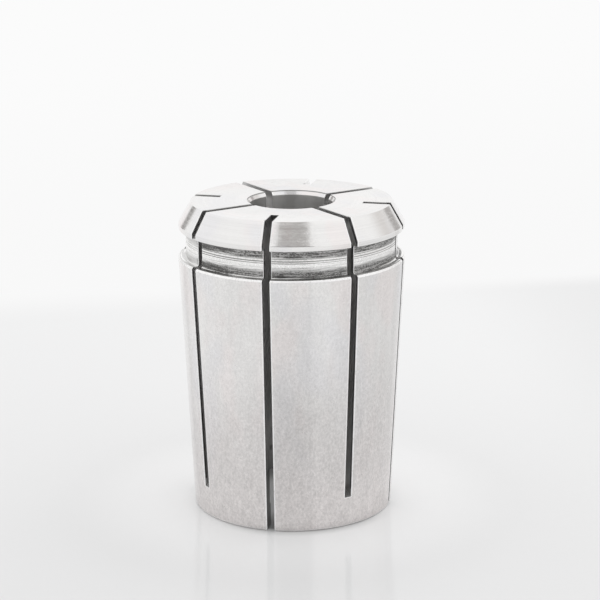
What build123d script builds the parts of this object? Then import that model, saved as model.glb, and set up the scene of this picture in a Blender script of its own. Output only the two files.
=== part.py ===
from build123d import *
import math
import os

# A double-slotted collet with a 1:10 taper: one piece of spring steel, turned, sawn and ground.
# Millimetres. The collet stands on its rear end, its axis is Z and its front face looks up.
# The origin is the centre of the rear face.

# Outside, from the rear face up
length = 60.5
max_diameter = 43.7  # where the taper would meet the shoulder if that edge were sharp
taper = 1 / 10  # change of diameter over length
shoulder_height = 49.95
groove_diameter = 40.7
head_diameter = 43.4
head_height = 55.35  # the lower edge of the head, where the groove ends
head_land = 1.0  # the short cylinder between that edge and the front cone
front_cone_half_angle = 30.0

# Inside, from the front face down
bore_diameter = 16.0
mouth_width = 0.4
mouth_depth = 0.85
relief_top = 18.0  # the relief behind the clamping bore is straight up to here
relief_diameter = 33.8
relief_cone_half_angle = 59.0
lip_diameter = 32.4  # the relief is a little narrower at the rear face
lip_height = 4.4

# Broken edges
rear_chamfer = 0.3
lip_chamfer = 0.5
shoulder_radius = 0.4
groove_corner_radius = 0.35
head_lower_radius = 0.15
head_upper_radius = 0.3
face_edge_radius = 0.15

# Slots, sawn by turns from the front and from the rear, each as far as the axis
slots_each_way = 4
slot_width = 1.4
saw_diameter = 63.0
front_slot_end = 6.0  # height at which a slot from the front leaves the taper
rear_slot_end_radius = 14.0  # distance from the axis at which a slot from the rear leaves the front face
saw_overrun = 2.0  # how far each cut starts outside the steel

max_radius = max_diameter / 2
groove_radius = groove_diameter / 2
head_radius = head_diameter / 2
bore_radius = bore_diameter / 2
relief_radius = relief_diameter / 2
lip_radius = lip_diameter / 2
saw_radius = saw_diameter / 2


def taper_radius(height):
    """Radius of the 1:10 cone at a height above the rear face."""
    return max_radius - (shoulder_height - height) * taper / 2


def turned_blank():
    """The collet before it is sawn: its half section turned about the axis."""
    head_top = head_height + head_land
    face_radius = head_radius - (length - head_top) * math.tan(math.radians(front_cone_half_angle))
    relief_rise = (relief_radius - bore_radius) / math.tan(math.radians(relief_cone_half_angle))
    # Each corner is its distance from the axis, its height and the radius that rounds it.
    corners = [
        (taper_radius(0) - rear_chamfer, 0, 0),
        (taper_radius(rear_chamfer), rear_chamfer, 0),
        (max_radius, shoulder_height, shoulder_radius),
        (groove_radius, shoulder_height, groove_corner_radius),
        (groove_radius, head_height, groove_corner_radius),
        (head_radius, head_height, head_lower_radius),
        (head_radius, head_top, head_upper_radius),
        (face_radius, length, face_edge_radius),
        (bore_radius + mouth_width, length, 0),
        (bore_radius, length - mouth_depth, 0),
        (bore_radius, relief_top + relief_rise, 0),
        (relief_radius, relief_top, 0),
        (relief_radius, lip_height + relief_radius - lip_radius, 0),
        (lip_radius, lip_height, 0),
        (lip_radius, lip_chamfer, 0),
        (lip_radius + lip_chamfer, 0, 0),
    ]
    outline = FilletPolyline(
        *[(radius, height) for radius, height, rounding in corners],
        radius=[rounding for radius, height, rounding in corners],
        close=True,
    )
    return revolve(make_face(Plane.XZ * outline), Axis.Z)


def saw_cut(entry_height, end_radius, end_height):
    """One slot: a saw fed along the axis from entry_height until its rim leaves the steel at the end point."""
    feed = math.copysign(1, end_height - entry_height)

    def rim_rise(radius):
        """How far the rim runs ahead of the saw's centre at a distance from the collet's axis."""
        return feed * math.sqrt(saw_radius**2 - (saw_radius - radius) ** 2)

    centre_height = end_height - rim_rise(end_radius)
    outer = max_radius + saw_overrun
    sides = Polyline(
        (0, centre_height),
        (0, entry_height),
        (outer, entry_height),
        (outer, centre_height + rim_rise(outer)),
    )
    rim = ThreePointArc(
        (outer, centre_height + rim_rise(outer)),
        (outer / 2, centre_height + rim_rise(outer / 2)),
        (0, centre_height),
    )
    return extrude(make_face(Plane.XZ * (sides + rim)), slot_width / 2, both=True)


def around(cut, first_angle):
    """The same cut at even steps about the axis."""
    return [place * cut for place in PolarLocations(0, slots_each_way, start_angle=first_angle)]


half_step = 180 / slots_each_way
rear_slots = around(saw_cut(-saw_overrun, rear_slot_end_radius, length), 0)
front_slots = around(saw_cut(length + saw_overrun, taper_radius(front_slot_end), front_slot_end), half_step)
collet = turned_blank() - rear_slots - front_slots

os.makedirs("parts", exist_ok=True)
export_step(collet, "parts/collet.step")
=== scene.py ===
import math

import bpy
from mathutils import Matrix, Vector


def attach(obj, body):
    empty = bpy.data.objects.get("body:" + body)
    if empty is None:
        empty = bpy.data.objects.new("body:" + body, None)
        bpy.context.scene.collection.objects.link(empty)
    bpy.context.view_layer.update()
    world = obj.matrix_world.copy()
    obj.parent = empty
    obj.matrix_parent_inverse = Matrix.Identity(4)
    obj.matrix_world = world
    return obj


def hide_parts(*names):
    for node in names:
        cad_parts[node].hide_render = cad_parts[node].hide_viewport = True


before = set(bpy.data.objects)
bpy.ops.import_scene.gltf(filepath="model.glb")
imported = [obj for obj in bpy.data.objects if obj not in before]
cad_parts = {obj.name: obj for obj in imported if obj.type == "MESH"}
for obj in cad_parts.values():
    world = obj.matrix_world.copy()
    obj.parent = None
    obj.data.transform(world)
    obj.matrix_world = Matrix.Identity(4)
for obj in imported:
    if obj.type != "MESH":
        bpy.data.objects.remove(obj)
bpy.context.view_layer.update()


# ---- The turned blank
# The collet is one piece of hardened spring steel. Its half section is turned first: a long 1:10 taper, a
# square groove for the nut's ring, a head with a front cone, and inside it the bore with a wide relief below.
# Sizes are in millimetres up to the mesh, and every corner is rounded so that it catches the light.
mm = 0.001
length = 60.5
max_radius = 21.85
taper_slope = 0.05
shoulder_height = 49.95
groove_radius = 20.35
head_radius, head_height, head_top = 21.7, 55.35, 56.35
face_radius = 19.304
bore_radius = 8.0
mouth_width, mouth_depth = 0.4, 0.85
mouth_step, step_depth = 0.1, 0.2
relief_radius, relief_top = 16.9, 18.0
relief_cone_half_angle = math.radians(59)
lip_radius, lip_height = 16.2, 4.4
rear_chamfer, lip_chamfer, shoulder_chamfer = 0.3, 0.5, 0.34
step_rounding, fine_rounding, cone_rounding, small_rounding = 0.03, 0.13, 0.15, 0.2
relief_rounding, groove_rounding, land_rounding = 0.3, 0.35, 0.35
arc_step = math.radians(14)
longest_step, ripple_step = 3.0, 0.05


def taper_radius(height):
    """Radius of the 1:10 cone at a height above the rear face."""
    return max_radius - (shoulder_height - height) * taper_slope


class Station:
    """A point of the half section: its place, the way the surface faces, and the corner that it follows."""

    def __init__(self, radius, height, normal, corner):
        self.radius, self.height, self.corner = radius, height, corner
        self.normal, self.inward = normal, -normal


def rounded_section(corners, short_steps):
    """Stations round a closed half section. Each corner is its radius, its height and its rounding, and the
    straight run that follows it may have a short step of its own."""
    count = len(corners)
    places = [Vector(corner[:2]) for corner in corners]
    arcs = []
    for here, (place, (_, _, rounding)) in enumerate(zip(places, corners)):
        before = (place - places[here - 1]).normalized()
        after = (places[(here + 1) % count] - place).normalized()
        turn = math.atan2(before.cross(after), before.dot(after))
        bulge = math.copysign(rounding, turn)
        start_normal = Vector((before.y, -before.x))
        centre = place - before * rounding * math.tan(abs(turn) / 2) - start_normal * bulge
        steps = max(2, math.ceil(abs(turn) / arc_step))
        arc = []
        for step in range(steps + 1):
            normal = start_normal.copy()
            normal.rotate(Matrix.Rotation(turn * step / steps, 2))
            arc.append((centre + normal * bulge, normal))
        arcs.append(arc)
    stations = []
    for here, arc in enumerate(arcs):
        for place, normal in arc:
            stations.append(Station(place.x, place.y, normal, here))
        start, normal = arc[-1]
        end = arcs[(here + 1) % count][0][0]
        steps = math.ceil((end - start).length / short_steps.get(here, longest_step))
        for step in range(1, steps):
            place = start.lerp(end, step / steps)
            stations.append(Station(place.x, place.y, normal.copy(), here))
    return stations


relief_rise = (relief_radius - bore_radius) / math.tan(relief_cone_half_angle)
chamfer_foot = shoulder_height - shoulder_chamfer
section_corners = [
    (taper_radius(0) - rear_chamfer, 0, fine_rounding),
    (taper_radius(rear_chamfer), rear_chamfer, small_rounding),
    (taper_radius(chamfer_foot), chamfer_foot, fine_rounding),
    (max_radius - shoulder_chamfer, shoulder_height, fine_rounding),
    (groove_radius, shoulder_height, groove_rounding),
    (groove_radius, head_height, groove_rounding),
    (head_radius, head_height, cone_rounding),
    (head_radius, head_top, land_rounding),
    (face_radius, length, cone_rounding),
    (bore_radius + mouth_width + mouth_step, length, step_rounding),
    (bore_radius + mouth_width + mouth_step, length - step_depth, step_rounding),
    (bore_radius + mouth_width, length - step_depth, step_rounding),
    (bore_radius, length - mouth_depth, small_rounding),
    (bore_radius, relief_top + relief_rise, small_rounding),
    (relief_radius, relief_top, relief_rounding),
    (relief_radius, lip_height + relief_radius - lip_radius, small_rounding),
    (lip_radius, lip_height, fine_rounding),
    (lip_radius, lip_chamfer, fine_rounding),
    (lip_radius + lip_chamfer, 0, fine_rounding),
]
# where in the list of corners a finish or a finer step begins or ends
FOOT, SHOULDER, LEDGE, GROOVE_FLOOR, UNDER_HEAD, MOUTH, CHAMFER = 1, 2, 3, 4, 5, 9, 11
stations = rounded_section(section_corners, {GROOVE_FLOOR: ripple_step})


def add_station(radius, height, near=0.01):
    """Puts one more station on the straight run of the section that passes through or near a point."""
    point = Vector((radius, height))
    for index, station in enumerate(stations):
        following = stations[(index + 1) % len(stations)]
        start, end = Vector((station.radius, station.height)), Vector((following.radius, following.height))
        run = end - start
        share = (point - start).dot(run) / run.length_squared
        if 0 < share < 1 and abs(run.normalized().cross(point - start)) < near:
            added = Station(radius, height, following.normal.copy(), station.corner)
            stations.insert(index + 1, added)
            return added
    raise ValueError("no run of the section passes through the point")


# ---- The groove's rings
# The nut's groove is cut with a narrow tool that is fed in several times. Each pass leaves a shallow ring,
# given by its height, its depth and half its width, and the feed leaves a fine ripple between the rings.
tool_rings = (
    (53.68, 0.05, 0.08),
    (53.21, 0.07, 0.1),
    (52.84, 0.05, 0.08),
    (52.0, 0.04, 0.16),
    (50.9, 0.03, 0.2),
)
ripple_depth, ripple_pitch = 0.004, 0.21
straight_out = 0.999
for station in stations:
    if station.corner == GROOVE_FLOOR and station.normal.x > straight_out:
        depth, slope = 0.0, 0.0
        for ring_height, ring_depth, half_width in tool_rings:
            away = (station.height - ring_height) / half_width
            if abs(away) < 1:
                depth += ring_depth * (1 + math.cos(math.pi * away)) / 2
                slope -= ring_depth * math.pi / half_width * math.sin(math.pi * away) / 2
        phase = station.height * math.tau / ripple_pitch
        depth += ripple_depth * (1 + math.sin(phase))
        slope += ripple_depth * math.tau / ripple_pitch * math.cos(phase)
        station.radius -= depth
        station.normal = Vector((1, slope)).normalized()


# ---- The slots
# A slitting saw whose rim reaches the axis is fed along the collet four times from the rear and four times
# from the front, by turns, and each cut ends in the arc of that rim. The edges are then broken with a stone,
# which polishes a narrow rim of the skin beside them.
half_slot = 0.7
edge_break, polished_rim = 0.11, 0.15
eighth = math.tau / 8
saw_radius = 31.5
rear_cut_end = (14.0, length)
front_cut_end = (taper_radius(6.0), 6.0)


def rim_rise(radius):
    """How far the saw's rim runs ahead of its centre at a distance from the collet's axis."""
    return math.sqrt(saw_radius**2 - (saw_radius - radius) ** 2)


class Cut:
    """A slot: its direction, its saw's centre, the stations between which it leaves the steel whole."""

    def __init__(self, angle, centre_height, feed, first_whole, last_whole):
        self.out = Vector((math.cos(angle), math.sin(angle), 0))
        self.along = Vector((-math.sin(angle), math.cos(angle), 0))
        self.angle, self.centre_height, self.feed = angle, centre_height, feed
        self.first_whole, self.last_whole = first_whole, last_whole

    def is_open_at(self, index):
        """Whether the cut goes through the section between a station and the next."""
        start, end = stations.index(self.last_whole), stations.index(self.first_whole)
        return (index - start) % len(stations) < (end - start) % len(stations)

    def rim(self, radius):
        """A point of the cut's floor over the slot's middle, and the way that the floor faces there."""
        height = self.centre_height + self.feed * rim_rise(radius)
        facing = (self.out * (saw_radius - radius) + Vector((0, 0, self.centre_height - height))) / saw_radius
        return self.out * radius + Vector((0, 0, height)), facing


rear_centre = rear_cut_end[1] - rim_rise(rear_cut_end[0])
front_centre = front_cut_end[1] + rim_rise(front_cut_end[0])
rear_outer = add_station(*rear_cut_end)
rear_inner = add_station(bore_radius, rear_centre + rim_rise(bore_radius))
front_outer = add_station(*front_cut_end)
front_inner = add_station(relief_radius, front_centre - rim_rise(relief_radius))
for end, rise, spread in (
    (rear_outer, 0, edge_break),
    (rear_inner, -edge_break, 0),
    (front_outer, edge_break, taper_slope * edge_break),
    (front_inner, edge_break, 0),
    (front_outer, -polished_rim, -taper_slope * polished_rim),
):
    add_station(end.radius + spread, end.height + rise)
cuts = []
for quarter in range(4):
    cuts.append(Cut(quarter * 2 * eighth, rear_centre, 1, rear_outer, rear_inner))
    cuts.append(Cut((quarter * 2 + 1) * eighth, front_centre, -1, front_inner, front_outer))


# ---- The finished collet
# Its surfaces are laid out one by one: eight turned sectors, the strips that stay whole beyond each cut, and
# the broken edges, flat walls and round floor of each slot. Each face carries the number of its finish.
GROUND, GROOVED, BORED, SAWN, BROKEN = range(5)
floor_steps, sector_steps = 12, 14
straight_up = 0.99
point_digits = 4  # points that agree to a ten-thousandth of a millimetre are one
points, point_index, faces, facings, finishes = [], {}, [], [], []


def add_face(corners, finish):
    """One face from its corners, each a point and the way the surface faces. Where corners meet, they share
    a point."""
    loop = []
    for point, facing in corners:
        key = tuple(round(value, point_digits) for value in point)
        if key not in point_index:
            point_index[key] = len(points)
            points.append(point * mm)
        if not loop or (loop[-1][0] != point_index[key] and loop[0][0] != point_index[key]):
            loop.append((point_index[key], facing.normalized()))
    if len(loop) > 2:
        faces.append([index for index, facing in loop])
        facings.extend(facing for index, facing in loop)
        finishes.append(finish)


def add_strip(lower, upper, finish):
    """The faces between two rows of corners that run the same way."""
    for left in range(len(lower) - 1):
        add_face((lower[left], lower[left + 1], upper[left + 1], upper[left]), finish)


def on_skin(station, angle):
    """A corner of the turned surface at an angle about the axis."""
    cosine, sine = math.cos(angle), math.sin(angle)
    return (
        Vector((station.radius * cosine, station.radius * sine, station.height)),
        Vector((station.normal.x * cosine, station.normal.x * sine, station.normal.y)),
    )


def across(cut, station, offset):
    """A corner of the turned surface at a distance from a slot's middle plane."""
    return on_skin(station, cut.angle + math.asin(offset / station.radius))


def broken_edge(cut, station, side):
    """The corners round one edge of a slot, from the turned surface into the slot."""
    skin, facing = across(cut, station, side * (half_slot + edge_break))
    into_slot = cut.along * -side
    if station in (cut.first_whole, cut.last_whole):
        lip, facing_there = across(cut, station, side * half_slot)
        return [(skin, facing), (lip, facing_there), (lip, into_slot)]
    angle = math.atan2(skin.y, skin.x)
    inward_level = station.inward.x
    inward = Vector((inward_level * math.cos(angle), inward_level * math.sin(angle), station.inward.y))
    centre = skin + inward * edge_break
    between = (into_slot - inward).normalized()
    return [(skin, facing)] + [(centre + way * edge_break, way) for way in (between, into_slot)]


def faces_up(station, following):
    return min(station.normal.y, following.normal.y) > straight_up


def skin_finish(station, following):
    """The finish of the turned surface between a station and the next."""
    in_rounding = station.corner == following.corner and station.normal != following.normal
    if station.corner == SHOULDER or station.corner == FOOT and in_rounding:
        return BROKEN
    if LEDGE <= station.corner <= UNDER_HEAD:
        return GROOVED
    if station.corner >= MOUTH and station.corner != CHAMFER and station.height > lip_chamfer:
        return BORED
    return GROUND


for cut in cuts:
    count = len(stations)
    first, last = stations.index(cut.first_whole), stations.index(cut.last_whole)
    whole = [stations[(first + step) % count] for step in range((last - first) % count + 1)]
    sawn = [stations[(last + step) % count] for step in range((first - last) % count + 1)]
    wide, narrow = half_slot + edge_break, half_slot
    # the strip that the cut leaves whole, with a polished lip where a front cut ends in the ground taper
    for below, above in zip(whole, whole[1:]):
        rows = []
        for station in (below, above):
            rows.append([across(cut, station, offset) for offset in (-wide, -narrow, 0, narrow, wide)])
        finish = skin_finish(below, above)
        is_lip = above is cut.last_whole and finish == GROUND
        add_strip(rows[0], rows[1], BROKEN if is_lip else finish)
    # the broken edges
    for side in (-1, 1):
        for below, above in zip(sawn, sawn[1:]):
            rows = [broken_edge(cut, station, side)[:: side * -1] for station in (below, above)]
            add_strip(rows[0], rows[1], SAWN if faces_up(below, above) else BROKEN)
    # the floor that the saw's rim leaves
    start_radius = math.sqrt(cut.first_whole.radius**2 - half_slot**2)
    end_radius = math.sqrt(cut.last_whole.radius**2 - half_slot**2)
    floor_rows = []
    for step in range(floor_steps + 1):
        radius = end_radius + (start_radius - end_radius) * step / floor_steps
        middle, facing = cut.rim(radius)
        row = [(middle + cut.along * offset, facing) for offset in (-narrow, 0, narrow)]
        end = {0: cut.last_whole, floor_steps: cut.first_whole}.get(step)
        if end:
            row = [(across(cut, end, offset)[0], facing) for offset in (-narrow, 0, narrow)]
        floor_rows.append(row)
    for below, above in zip(floor_rows, floor_rows[1:]):
        add_strip(below, above, SAWN)
    # the two flat walls
    for side in (-1, 1):
        wall = [broken_edge(cut, station, side)[-1][0] for station in sawn]
        wall += [row[1 + side][0] for row in reversed(floor_rows[1:-1])]
        add_face([(point, cut.along * -side) for point in wall[::side]], SAWN)

# the eight sectors, each with a polished rim beside the slots that border it
for cut, next_cut in zip(cuts, cuts[1:] + cuts[:1]):
    rows = []
    for station in stations:
        turn = math.asin((half_slot + edge_break) / station.radius)
        start, end, rim = cut.angle + turn, cut.angle + eighth - turn, polished_rim / station.radius
        spread = end - start - 2 * rim
        angles = [start + rim + spread * step / sector_steps for step in range(sector_steps + 1)]
        rows.append([on_skin(station, angle) for angle in (start, *angles, end)])
    for index, station in enumerate(stations):
        lower, upper = rows[index], rows[(index + 1) % len(stations)]
        finish = skin_finish(station, stations[(index + 1) % len(stations)])
        add_strip(lower[1:-1], upper[1:-1], finish)
        for slot, rim_columns in ((cut, slice(0, 2)), (next_cut, slice(-2, None))):
            polished = finish == GROUND and slot.is_open_at(index) and not faces_up(station, station)
            add_strip(lower[rim_columns], upper[rim_columns], BROKEN if polished else finish)

shape = bpy.data.meshes.new("collet_ground")
shape.from_pydata(points, [], faces)
shape.polygons.foreach_set("use_smooth", [True] * len(faces))
shape.polygons.foreach_set("material_index", finishes)
shape.normals_split_custom_set([tuple(facing) for facing in facings])
shape.update()
collet = bpy.data.objects.new("collet_ground", shape)
bpy.context.scene.collection.objects.link(collet)
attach(collet, "root")
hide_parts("collet")


# ---- The ground steel
# The taper, the head and the front face are ground bright after hardening. Fine turning marks still run round
# them, the grinding leaves a soft grain, and handling leaves faint warm and cool clouds. A few spots are
# painted darker or brighter than the rest, as painted reflections of the studio.
class Wire:
    """A socket of a finish, on which sums are written as plain expressions."""

    def __init__(self, finish, socket):
        self.finish, self.socket = finish, socket

    def math(self, operation, *values):
        return self.finish.node("ShaderNodeMath", {"operation": operation}, dict(enumerate(values)))

    def __add__(self, other):
        return self.math("ADD", self, other)

    __radd__ = __add__

    def __sub__(self, other):
        return self.math("SUBTRACT", self, other)

    def __rsub__(self, other):
        return self.math("SUBTRACT", other, self)

    def __mul__(self, other):
        return self.math("MULTIPLY", self, other)

    __rmul__ = __mul__

    def __pow__(self, other):
        return self.math("POWER", self, other)

    def __abs__(self):
        return self.math("ABSOLUTE", self)

    def least(self, other):
        return self.math("MINIMUM", self, other)

    def most(self, other):
        return self.math("MAXIMUM", self, other)

    def between(self, low, high, to_low=0.0, to_high=1.0):
        """The value eased from to_low to to_high as it passes from low to high."""
        return self.finish.node(
            "ShaderNodeMapRange",
            {"interpolation_type": "SMOOTHSTEP"},
            {"Value": self, "From Min": low, "From Max": high, "To Min": to_low, "To Max": to_high},
        )


class Finish:
    """The nodes of a material or of the world, and the one way that they are added."""

    def __init__(self, owner, plain):
        self.owner = owner
        self.owner.use_nodes = True
        self.tree = owner.node_tree
        shaders = ("BSDF_PRINCIPLED", "BACKGROUND")
        self.shader = next(node for node in self.tree.nodes if node.type in shaders)
        self.end = next(node for node in self.tree.nodes if "OUTPUT" in node.type).inputs["Surface"]
        for socket, value in plain.items():
            self.shader.inputs[socket].default_value = value
        self.place = self.node("ShaderNodeTexCoord", {}, {}, "Object")
        self.x, self.y, self.z = (self.part(self.place, axis) for axis in "XYZ")

    def node(self, kind, settings, sockets, output=0):
        """A node of a kind, with its settings made first and then its sockets filled or joined."""
        made = self.tree.nodes.new(kind)
        for name, value in settings.items():
            setattr(made, name, value)
        for name, value in sockets.items():
            self.join(made.inputs[name], value)
        return Wire(self, made.outputs[output])

    def join(self, socket, value):
        """Sets a socket to a plain value, or links a wire to it."""
        if isinstance(value, Wire):
            self.tree.links.new(value.socket, socket)
        else:
            socket.default_value = value

    def part(self, vector, axis):
        return self.node("ShaderNodeSeparateXYZ", {}, {"Vector": vector}, axis)

    def from_axis(self):
        return (self.x * self.x + self.y * self.y) ** 0.5

    def distance(self, point):
        sockets = {0: self.place, 1: point}
        return self.node("ShaderNodeVectorMath", {"operation": "DISTANCE"}, sockets, "Value")

    def stretched(self, across, along):
        """The place in cells: so many to the metre across the axis, and so many along it."""
        cells = (across, across, along)
        return self.node("ShaderNodeVectorMath", {"operation": "MULTIPLY"}, {0: self.place, 1: cells})

    def noise(self, across, along, detail=2.0, roughness=0.5):
        vector = self.stretched(across, along)
        sockets = {"Vector": vector, "Scale": 1.0, "Detail": detail, "Roughness": roughness}
        return self.node("ShaderNodeTexNoise", {}, sockets)

    def lines(self, way, per_metre, wander, detail):
        """Fine lines side by side along a way, that come and go over the surface."""
        vector = self.stretched(wander, wander)
        sockets = {"W": way * per_metre, "Vector": vector, "Scale": 1.0, "Detail": detail}
        return self.node("ShaderNodeTexNoise", {"noise_dimensions": "4D"}, sockets)

    def mix(self, share, first, second):
        return self.node("ShaderNodeMix", {"data_type": "RGBA"}, {"Factor": share, 6: first, 7: second}, 2)

    def toned(self, colour, tone):
        return self.node("ShaderNodeVectorMath", {"operation": "SCALE"}, {0: colour, "Scale": tone})

    def bump(self, height, strength, depth):
        return self.node("ShaderNodeBump", {}, {"Height": height, "Strength": strength, "Distance": depth})

    def glow(self, colour):
        return self.node("ShaderNodeEmission", {}, {"Color": colour})

    def wear(self, **sockets):
        """Feeds the shader's sockets, named as they are with underscores for spaces."""
        for name, value in sockets.items():
            self.join(self.shader.inputs[name.replace("_", " ")], value)


def new_finish(name, plain):
    return Finish(bpy.data.materials.new(name), plain)


# places in the finishes are in metres, as they are in the mesh
neutral_steel = (0.801, 0.793, 0.784, 1)
warm_steel = (0.812, 0.778, 0.769, 1)
cool_steel = (0.768, 0.763, 0.770, 1)
turned = {"Metallic": 1.0, "Anisotropic": 0.6, "Anisotropic Rotation": 0.25}
ground = new_finish("ground_steel", turned)
tint = ground.mix(ground.noise(150, 80).between(0.45, 0.62), neutral_steel, warm_steel)
tint = ground.mix(ground.noise(120, 60, 1.0).between(0.50, 0.68), tint, cool_steel)
tint = ground.mix(ground.z.between(0.0, 0.042, 0.9, 0.0), tint, warm_steel)
# each painted reflection is its place, the distances that it fades between, and how much darker it is
painted_reflection_spots = (
    ((0.0025, -0.0208, 0.0225), 0.002, 0.012, 0.070),
    ((0.0172, -0.0128, 0.0210), 0.003, 0.019, 0.085),
    ((-0.0114, -0.0182, 0.0340), 0.004, 0.018, -0.050),
)
painted_reflections = sum(ground.distance(place).between(near, far, darker, 0.0) for place, near, far, darker in painted_reflection_spots)
# painted shade darkens the body towards its foot, and painted light lightens it towards the top
painted_height_shade = ground.z.between(0.004, 0.036, 0.078, -0.036)
grain = ground.noise(520, 340, 4.0, 0.9)
fine_grain = ground.noise(2600, 1700)
upright = ground.noise(900, 60)
texture = (grain - 0.5) * 0.26 + (fine_grain - 0.5) * 0.36 + (upright - 0.5) * 0.12
body_tone = texture * ground.z.between(0.005, 0.045, 1.35, 0.75) - painted_reflections - painted_height_shade
marks = ground.lines(ground.z - ground.from_axis(), 3200, 40, 3.0)
# painted light lightens the front face on its half towards the camera
painted_face_light = ground.z.between(0.0600, 0.0604) * ground.y.between(-0.0165, -0.0115, 0.055, 0.0)
head_tone = (grain - 0.5) * 0.08 + (marks - 0.5) * 0.18 + 0.06 + painted_face_light
on_head = ground.z.between(shoulder_height * mm, head_height * mm)
scuffs = ground.noise(900, 3000, 3.0, 0.7)
ground.wear(
    Base_Color=ground.toned(tint, body_tone + on_head * (head_tone - body_tone) + 1.0),
    Roughness=0.19 + (marks - 0.5) * 0.2 + (scuffs - 0.5) * 0.42,
    Normal=ground.bump(marks * 0.7 + fine_grain * 0.5, 0.25, 0.00004),
)


# ---- The groove's finish
# The nut's groove is only turned, not ground. Black from the hardening bath stays in the rings and in a
# streaky band along the groove's foot, thicker at the front left and worn at the far left. Under the head the
# same black is painted shade, where the head's overhang keeps the light off.
turned_steel, bath_black_and_shade = (0.89, 0.885, 0.875, 1), (0.11, 0.108, 0.105, 1)
grooved = new_finish("grooved_steel", turned)
rings = grooved.lines(grooved.z, 5600, 60, 4.0)
ledge_rings = grooved.lines(grooved.from_axis(), 3000, 120, 3.0)
streaks = grooved.noise(240, 3800, 3.0, 0.6)
speck = grooved.noise(3200, 5200, 2.0, 0.65)
low_band = (grooved.z + (streaks - 0.5) * 0.0022).between(0.0510, 0.0521, 1.0, 0.0)
# painted shade under the head's overhang, in the black of the bath
painted_shade_under_head = (grooved.z + (streaks - 0.5) * 0.0008).between(0.0536, 0.0540)
bare = ledge_rings.between(0.49, 0.58) * grooved.z.between(0.0500, 0.0503, 1.0, 0.0)
thick = grooved.x.between(-0.016, -0.004, 0.30, 0.0) * grooved.y.between(-0.004, 0.0, 1.0, 0.0)
patchy = (speck * 0.55 + streaks * 0.45).between(0.42, 0.56, 0.50, 1.0) + thick
black_and_painted_shade = (low_band + painted_shade_under_head - bare) * patchy
for ring_height, _, half_width in tool_rings[:3]:
    from_ring = abs(grooved.z - ring_height * mm)
    in_ring = from_ring.between(0.4 * half_width * mm, 1.3 * half_width * mm, 1.0, 0.0)
    black_and_painted_shade = black_and_painted_shade.most(in_ring * (rings.between(0.3, 0.6, 0.9, 0.5) + thick))
worn = grooved.x.between(-0.0154, -0.0146, 0.7, 0.0)
black_and_painted_shade = black_and_painted_shade * (1.0 - worn)
tone = (rings - 0.5) * 0.75 + (speck - 0.5) * 0.7 + 1.0
grooved.wear(
    Base_Color=grooved.toned(grooved.mix(black_and_painted_shade, turned_steel, bath_black_and_shade), tone),
    Roughness=0.27 + black_and_painted_shade * 0.15,
    Normal=grooved.bump(rings + speck * 0.4, 0.4, 0.00005),
)


# ---- The bore's finish
# The bore, its mouth and the relief are bored before hardening. They are duller than the outside, with faint
# streaks along the axis where shanks have been pushed in.
dull_steel, streak_steel = (0.585, 0.58, 0.57, 1), (0.665, 0.66, 0.65, 1)
bored = new_finish("bored_steel", {**turned, "Anisotropic": 0.3})
streak = bored.noise(1100, 40, 2.0, 0.6)
# painted shade darkens the relief, the hollow below the bore
painted_relief_shade = bored.z.between(0.0175, 0.0225, 0.9, 1.0)
bored.wear(
    Base_Color=bored.toned(bored.mix(streak, dull_steel, streak_steel), painted_relief_shade),
    Roughness=0.44 + (streak - 0.5) * 0.1,
    Normal=bored.bump(bored.noise(1600, 1600), 0.1, 0.00003),
)


# ---- The saw's walls
# The walls of the slots are bright steel with the fine marks of the slitting saw, and look dark mostly as
# they face each other. Shade is painted on them in a narrow band behind the skin and under the front face,
# on the thin skirt round the relief, and more towards the foot of the slots.
saw_steel = (1.0, 0.994, 0.988)
taper_foot, cone_peak, cone_slope = 0.01935, 0.05423, 0.577
sawn = new_finish("sawn_steel", {"Metallic": 1.0})
saw_marks = sawn.noise(1500, 300, 2.0, 0.6)
from_axis = sawn.from_axis()
# the skin's radius is the least of what the taper, the cone and the groove leave, at each height
skin = (sawn.z * taper_slope + taper_foot).least(cone_peak - sawn.z * cone_slope)
in_groove = sawn.z.between(0.0499, 0.0500) * sawn.z.between(0.0553, 0.0554, 1.0, 0.0)
clear_of_skin = 0.005
skin = skin.least(groove_radius * mm + clear_of_skin - in_groove * clear_of_skin)
depth = skin - from_axis - sawn.z.between(0.048, 0.052, 0.0, 0.0004)
far_side = (sawn.y - sawn.x * 0.5).between(-0.003, 0.003) * sawn.z.between(0.0550, 0.0560)
# painted shade in a narrow band behind the skin, and under the front face
shade_behind_skin = depth.between(0.0003, 0.0007, 0.75, 0.0) * sawn.z.between(0.0073, 0.0078) * (1.0 - far_side)
shade_under_face = sawn.z.between(0.0586, 0.0598, 0.0, 0.45) * sawn.y.between(0.0145, 0.0160, 1.0, 0.0)
painted_wall_shade = (shade_behind_skin + shade_under_face).least(0.72 - in_groove * 0.2)
in_rear_cut = abs(sawn.x * sawn.y).between(0.00002, 0.00003, 1.0, 0.0)
# painted shade on the thin skirt round the relief
skirt_shade = in_rear_cut * sawn.z.between(0.0115, 0.0130, 0.55, 0.0) * from_axis.between(0.0155, 0.0165)
# painted shade darkens the walls towards the foot of the slots; the saw marks vary it
low_shade_and_saw_marks = sawn.z.between(0.010, 0.036, 0.76, 0.98) + (saw_marks - 0.5) * 0.1
sawn.wear(
    Base_Color=sawn.toned(saw_steel, low_shade_and_saw_marks * (1.0 - painted_wall_shade) * (1.0 - skirt_shade)),
    Roughness=0.34 + saw_marks * 0.08,
    Normal=sawn.bump(saw_marks, 0.1, 0.00003),
)


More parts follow.
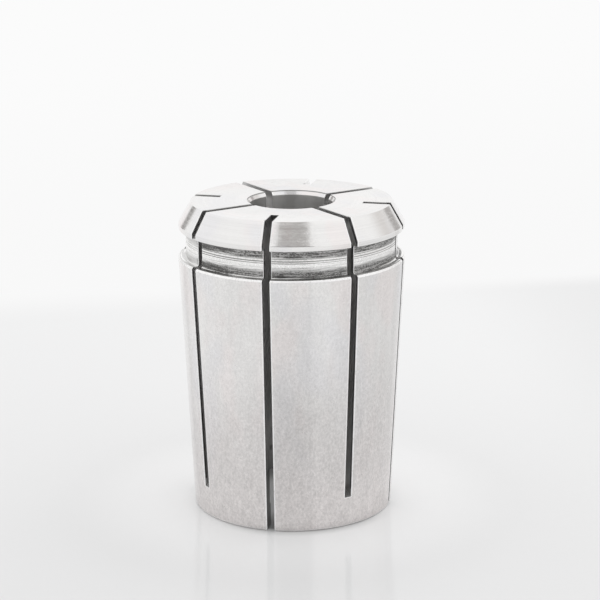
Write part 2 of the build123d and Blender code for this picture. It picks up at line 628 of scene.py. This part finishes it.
# ---- The broken edges
# The edges of the slots, of the shoulder and of the foot are polished with a stone, and so is a narrow rim of
# the skin beside each slot. Their colour is painted brighter than what they border, a painted highlight on
# top of the polish, with a nick here and there.
nicked_steel, polished_highlight_steel = (0.80, 0.795, 0.785, 1), (0.985, 0.98, 0.975, 1)
broken = new_finish("broken_edge", {"Metallic": 1.0})
nick = broken.noise(2500, 1200, 3.0, 0.6)
broken.wear(
    Base_Color=broken.mix(nick.between(0.30, 0.48), nicked_steel, polished_highlight_steel),
    Roughness=0.3 + nick * 0.1,
    Normal=broken.bump(nick, 0.1, 0.00003),
)
for finish in (ground, grooved, bored, sawn, broken):
    shape.materials.append(finish.owner)


# ---- The camera
# It stands 0.4 m away and looks a little down on the collet, from the side on which one slot is just left of
# the middle. It aims at a point given in millimetres aside from the collet's axis and up from its foot.
azimuth, elevation, roll = math.radians(12.53), math.radians(15.155), math.radians(-0.274)
distance = 402.82 * mm
target_aside, target_height = 1.559, 40.488
image_width, focal_length = 600, 2075.6  # in pixels
level_share = math.cos(elevation)
aside = Vector((math.cos(azimuth), math.sin(azimuth), 0))
back = Vector((math.sin(azimuth) * level_share, -math.cos(azimuth) * level_share, math.sin(elevation)))
up = back.cross(aside)
target = aside * target_aside * mm + Vector((0, 0, target_height * mm))
camera_data = bpy.data.cameras.new("camera")
camera_data.sensor_width = 36
camera_data.lens = focal_length / image_width * camera_data.sensor_width
camera_data.clip_start = 0.01
camera_data.clip_end = 100
camera = bpy.data.objects.new("camera", camera_data)
bpy.context.scene.collection.objects.link(camera)
right_edge = aside * math.cos(roll) + up * math.sin(roll)
top_edge = up * math.cos(roll) - aside * math.sin(roll)
camera_place = Matrix((right_edge, top_edge, back)).transposed().to_4x4()
camera_place.translation = target + back * distance
camera.matrix_world = camera_place
bpy.context.scene.camera = camera


# ---- The sheet that the collet stands on
# A sheet of smooth white card lies on a white table, a little askew. It shows pale grey beside the table, is
# glossy enough to mirror the collet softly, and its edges blur into the white. Its tone is painted: shade
# under the collet and in a narrow line before and behind its foot, a paler ring round it, and light that
# grows away from the camera. It glows faintly, which is painted light too.
def add_stage(name, size_x, size_y, place, finish):
    """A flat rectangle of the studio, which isn't part of the collet."""
    data = bpy.data.meshes.new(name)
    half_x, half_y = size_x / 2, size_y / 2
    corners = [(-half_x, -half_y, 0), (half_x, -half_y, 0), (half_x, half_y, 0), (-half_x, half_y, 0)]
    data.from_pydata(corners, [], [(0, 1, 2, 3)])
    data.materials.append(finish.owner)
    finish.owner.cycles.emission_sampling = "NONE"
    made = bpy.data.objects.new(name, data)
    made.matrix_world = place
    bpy.context.scene.collection.objects.link(made)
    return made


askew = math.radians(9.7)
sheet_edge, floor_size = 0.1535, 30
sheet_white, table_white = (1.0, 1.0, 1.003), (1.0, 1.0, 1.0)
# the sheet glows faintly, a painted light
sheet = new_finish("sheet", {"Specular IOR Level": 0.15, "Emission Strength": 0.125})
in_front = sheet.x * -math.sin(askew) - sheet.y * math.cos(askew)
outermost = in_front.most(sheet.y).most(abs(sheet.x - 0.05) - 0.05)
blur = sheet.x.between(-0.06, 0.06, 0.0165, 0.0085)
beyond = outermost.between(sheet_edge - blur, sheet_edge + blur)
from_collet = sheet.distance((0, 0, 0))
at_sides = abs(sheet.x).between(0.010, 0.018, 0.0, 0.8)
painted_contact_shade = from_collet.between(0.0187, 0.0221, 0.23, 0.0) * (1.0 - at_sides)
painted_light_ring = from_collet.between(0.022, 0.046, 0.12, 0.0)
# painted shade makes the sheet half as bright under the collet's foot, and painted light a little brighter in
# the middle, down the bore
painted_light_and_shade_under_collet = from_collet.between(0.008, 0.0155, 1.15, 0.5) + from_collet.between(0.0175, 0.0187, 0.0, 0.5)
# painted light grows from the front of the sheet to the back, and changes across it
painted_light_away_from_camera = sheet.y.between(-0.06, 0.10, 0.592, 0.634) + sheet.y.between(-0.12, -0.065, 0.03, 0.0)
painted_light_across_sheet = sheet.x.between(-0.05, 0.05, -0.01, 0.01) - sheet.x.between(0.06, 0.11, 0.0, 0.06)
paper = sheet.noise(900, 900)
tone = painted_light_away_from_camera + painted_light_across_sheet + painted_light_ring - painted_contact_shade + (paper - 0.5) * 0.01
sheet.wear(
    Base_Color=sheet.toned(sheet_white, tone * painted_light_and_shade_under_collet),
    Emission_Color=sheet.toned(table_white, painted_light_and_shade_under_collet),
    Roughness=0.1 + (paper - 0.5) * 0.03,
)
table = sheet.glow(sheet.toned(table_white, sheet.y.between(0.10, 0.60, 0.940, 0.965)))
both = sheet.node("ShaderNodeMixShader", {}, {0: beyond, 1: Wire(sheet, sheet.shader.outputs[0]), 2: table})
sheet.join(sheet.end, both)
add_stage("floor", floor_size, floor_size, Matrix.Rotation(azimuth + askew, 4, "Z"), sheet)


# ---- The studio
# White walls stand all round, and a wide soft box hangs overhead where the steel doesn't mirror it. What the
# steel does mirror is grey cards that fade at their sides: one in front over the camera, with the camera's
# own dark front below it, a narrow one behind each shoulder, and a pale wing beside the right one.
eye_height = 0.055
card_tint = (1.0, 0.97, 0.95)


def add_card(name, turn, low, high, away, width, shade, fade):
    """A card stood up round the collet, fading at its sides into the white behind it. Its turn from the
    camera's side and the elevations that it spans are in degrees."""
    angle = azimuth + math.radians(turn)
    out = Vector((math.sin(angle), -math.cos(angle), 0))
    side = Vector((math.cos(angle), math.sin(angle), 0))
    foot, top = (away * math.tan(math.radians(edge)) for edge in (low, high))
    place = Matrix((side, Vector((0, 0, 1)), out)).transposed().to_4x4()
    place.translation = out * away + Vector((0, 0, eye_height + (foot + top) / 2))
    finish = new_finish(name, {})
    cover = abs(finish.x).between(width / 2 - fade, width / 2 + fade, 1.0, 0.0)
    grey = (*(shade * part for part in card_tint), 1)
    finish.join(finish.end, finish.glow(finish.mix(cover, (1, 1, 1, 1), grey)))
    card = add_stage(name, width + 2 * fade, top - foot, place, finish)
    card.visible_camera = card.visible_shadow = card.visible_diffuse = False


add_card("front_card", turn=2.2, low=30, high=54, away=0.9, width=0.635, shade=0.47, fade=0.02)
add_card("lens_card", turn=1.0, low=5, high=30, away=0.9, width=0.69, shade=0.12, fade=0.03)
add_card("left_card", turn=-141, low=-4, high=18, away=0.6, width=0.11, shade=0.35, fade=0.01)
add_card("right_card", turn=134.7, low=-3, high=22, away=0.6, width=0.145, shade=0.46, fade=0.01)
add_card("right_wing", turn=116, low=4, high=34, away=0.62, width=0.20, shade=0.76, fade=0.10)

box_width, box_level = 0.9, 1.45
box_place, box_aim = Vector((0.02, 0.12, 1.0)), Vector((0, 0, 0.03))
box_data = bpy.data.lights.new("top_box", "AREA")
box_data.size = box_width
box_data.energy = box_level * math.pi * box_width**2
box = bpy.data.objects.new("top_box", box_data)
box.location = box_place
box.rotation_euler = (box_aim - box_place).to_track_quat("-Z", "Y").to_euler()
box.visible_glossy = False
bpy.context.scene.collection.objects.link(box)

walls_white, walls_shade = 1.0, 0.15
world = bpy.data.worlds.new("studio")
bpy.context.scene.world = world
walls = Finish(world, {"Color": (1, 1, 1, 1)})
on_dull_surfaces = walls.node("ShaderNodeLightPath", {}, {}, "Is Diffuse Ray")
walls.wear(Strength=walls_white - on_dull_surfaces * walls_shade)
bpy.context.scene.view_settings.view_transform = "Standard"
